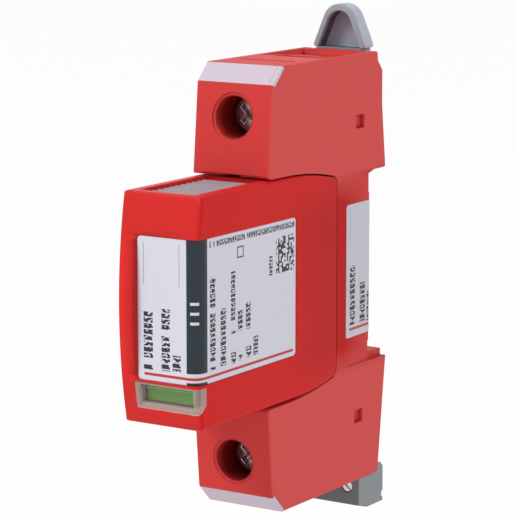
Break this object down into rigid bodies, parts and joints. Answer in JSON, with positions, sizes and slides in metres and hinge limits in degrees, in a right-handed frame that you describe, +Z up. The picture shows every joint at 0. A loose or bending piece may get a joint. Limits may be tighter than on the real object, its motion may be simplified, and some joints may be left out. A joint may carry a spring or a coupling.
{
  "type": "din rail surge arrester",
  "caption": "Slim red plug-in surge arrester with screw terminals at both ends, status window, ribbed release pads, signal plug and rail latch.",
  "frame": {"origin": "centre of the flat face of the base that seats on the front of the mounting rail", "axes": "+X across the width along the rail, +Y from the front of the device into the rail, +Z up towards the rail latch"},
  "size_m": [0.018, 0.0717, 0.1065],
  "materials": {
    "case_red": "fine moulded texture, satin",
    "module_red": "fine moulded texture, satin",
    "marking_white": "satin",
    "label_white": "printed film, satin",
    "copper": "tinned copper strip",
    "brass": "stamped brass",
    "screw_steel": "nickel plated",
    "clamp_steel": "zinc plated",
    "spring_steel": "drawn wire",
    "switch_black": "moulded",
    "latch_grey": "fine moulded texture",
    "plug_grey": "fine moulded texture",
    "pad_grey": "fine moulded texture",
    "ivory_plastic": "moulded",
    "clear_window": "clear moulded plastic",
    "varistor_blue": "dipped coating",
    "flag_green": "printed field",
    "flag_red": "printed field"
  },
  "bodies": {
    "base": {"base_housing": "case_red", "base_cover": "case_red", "upper_marking_strip": "marking_white", "lower_marking_strip": "marking_white", "base_label": "label_white", "upper_contact": "copper", "lower_contact": "copper", "signal_switch": "switch_black", "signal_pins": "brass", "latch_spring": "spring_steel"},
    "rail_latch": {"rail_latch": "latch_grey"},
    "upper_screw": {"upper_screw": "screw_steel"},
    "upper_clamp": {"upper_clamp": "clamp_steel"},
    "lower_screw": {"lower_screw": "screw_steel"},
    "lower_clamp": {"lower_clamp": "clamp_steel"},
    "switch_plunger": {"switch_plunger": "ivory_plastic"},
    "signal_plug": {"signal_plug": "plug_grey", "signal_receptacles": "brass"},
    "module": {"module_housing": "module_red", "module_back_plate": "module_red", "module_label": "label_white", "status_window": "clear_window", "varistor": "varistor_blue", "upper_blade": "copper", "lower_blade": "copper", "indicator_spring": "spring_steel", "upper_lever_spring": "spring_steel", "lower_lever_spring": "spring_steel"},
    "upper_release_lever": {"upper_release_lever": "pad_grey"},
    "lower_release_lever": {"lower_release_lever": "pad_grey"},
    "indicator": {"indicator_slider": "ivory_plastic", "green_field": "flag_green", "red_field": "flag_red", "disconnector_arm": "copper"},
    "signal_screw_1": {"signal_screw_1": "screw_steel"},
    "signal_clamp_1": {"signal_clamp_1": "clamp_steel"},
    "signal_screw_2": {"signal_screw_2": "screw_steel"},
    "signal_clamp_2": {"signal_clamp_2": "clamp_steel"},
    "signal_screw_3": {"signal_screw_3": "screw_steel"},
    "signal_clamp_3": {"signal_clamp_3": "clamp_steel"}
  },
  "joints": [
    {"name": "module_slide", "type": "slide", "parent": "base", "child": "module", "axis": [0, -1, 0], "range_m": [0, 0.06]},
    {"name": "rail_latch_slide", "type": "slide", "parent": "base", "child": "rail_latch", "axis": [0, 0, 1], "range_m": [0, 0.0035], "stiffness_N_per_m": 600, "springref_m": -0.002, "deforming": ["latch_spring"]},
    {"name": "upper_screw_turn", "type": "hinge", "parent": "base", "child": "upper_screw", "pos_m": [0, -0.03, 0.0347], "axis": [0, 1, 0], "range_deg": [0, 3240]},
    {"name": "upper_clamp_slide", "type": "slide", "parent": "base", "child": "upper_clamp", "axis": [0, -1, 0], "range_m": [0, 0.0072]},
    {"name": "lower_screw_turn", "type": "hinge", "parent": "base", "child": "lower_screw", "pos_m": [0, -0.03, -0.0347], "axis": [0, 1, 0], "range_deg": [0, 3240]},
    {"name": "lower_clamp_slide", "type": "slide", "parent": "base", "child": "lower_clamp", "axis": [0, -1, 0], "range_m": [0, 0.0072]},
    {"name": "signal_plug_slide", "type": "slide", "parent": "base", "child": "signal_plug", "axis": [0, 0, -1], "range_m": [0, 0.012]},
    {"name": "signal_screw_1_turn", "type": "hinge", "parent": "signal_plug", "child": "signal_screw_1", "pos_m": [-0.0055, -0.0023, -0.0472], "axis": [0, 1, 0], "range_deg": [0, 1890]},
    {"name": "signal_clamp_1_slide", "type": "slide", "parent": "signal_plug", "child": "signal_clamp_1", "axis": [0, -1, 0], "range_m": [0, 0.0021]},
    {"name": "signal_screw_2_turn", "type": "hinge", "parent": "signal_plug", "child": "signal_screw_2", "pos_m": [0, -0.0023, -0.0472], "axis": [0, 1, 0], "range_deg": [0, 1890]},
    {"name": "signal_clamp_2_slide", "type": "slide", "parent": "signal_plug", "child": "signal_clamp_2", "axis": [0, -1, 0], "range_m": [0, 0.0021]},
    {"name": "signal_screw_3_turn", "type": "hinge", "parent": "signal_plug", "child": "signal_screw_3", "pos_m": [0.0055, -0.0023, -0.0472], "axis": [0, 1, 0], "range_deg": [0, 1890]},
    {"name": "signal_clamp_3_slide", "type": "slide", "parent": "signal_plug", "child": "signal_clamp_3", "axis": [0, -1, 0], "range_m": [0, 0.0021]},
    {"name": "upper_release_press", "type": "hinge", "parent": "module", "child": "upper_release_lever", "pos_m": [0, -0.0575, 0.0195], "axis": [1, 0, 0], "range_deg": [-3.5, 0], "stiffness_Nm_per_rad": 0.15, "springref_deg": 5.73, "deforming": ["upper_lever_spring"]},
    {"name": "lower_release_press", "type": "hinge", "parent": "module", "child": "lower_release_lever", "pos_m": [0, -0.0575, -0.0195], "axis": [1, 0, 0], "range_deg": [0, 3.5], "stiffness_Nm_per_rad": 0.15, "springref_deg": -5.73, "deforming": ["lower_lever_spring"]},
    {"name": "indicator_trip", "type": "slide", "parent": "module", "child": "indicator", "axis": [0, 0, -1], "range_m": [0, 0.003], "deforming": ["indicator_spring"]},
    {"name": "switch_plunger_press", "type": "slide", "parent": "base", "child": "switch_plunger", "axis": [0, 1, 0], "range_m": [0, 0.0012]}
  ],
  "couplings": [
    {"joint": "upper_screw_turn", "follows": "upper_clamp_slide", "rad_per_m": 7853.9},
    {"joint": "lower_screw_turn", "follows": "lower_clamp_slide", "rad_per_m": 7853.9},
    {"joint": "signal_screw_1_turn", "follows": "signal_clamp_1_slide", "rad_per_m": 15708},
    {"joint": "signal_screw_2_turn", "follows": "signal_clamp_2_slide", "rad_per_m": 15708},
    {"joint": "signal_screw_3_turn", "follows": "signal_clamp_3_slide", "rad_per_m": 15708},
    {"joint": "switch_plunger_press", "follows": "indicator_trip", "ratio": 0.4}
  ]
}
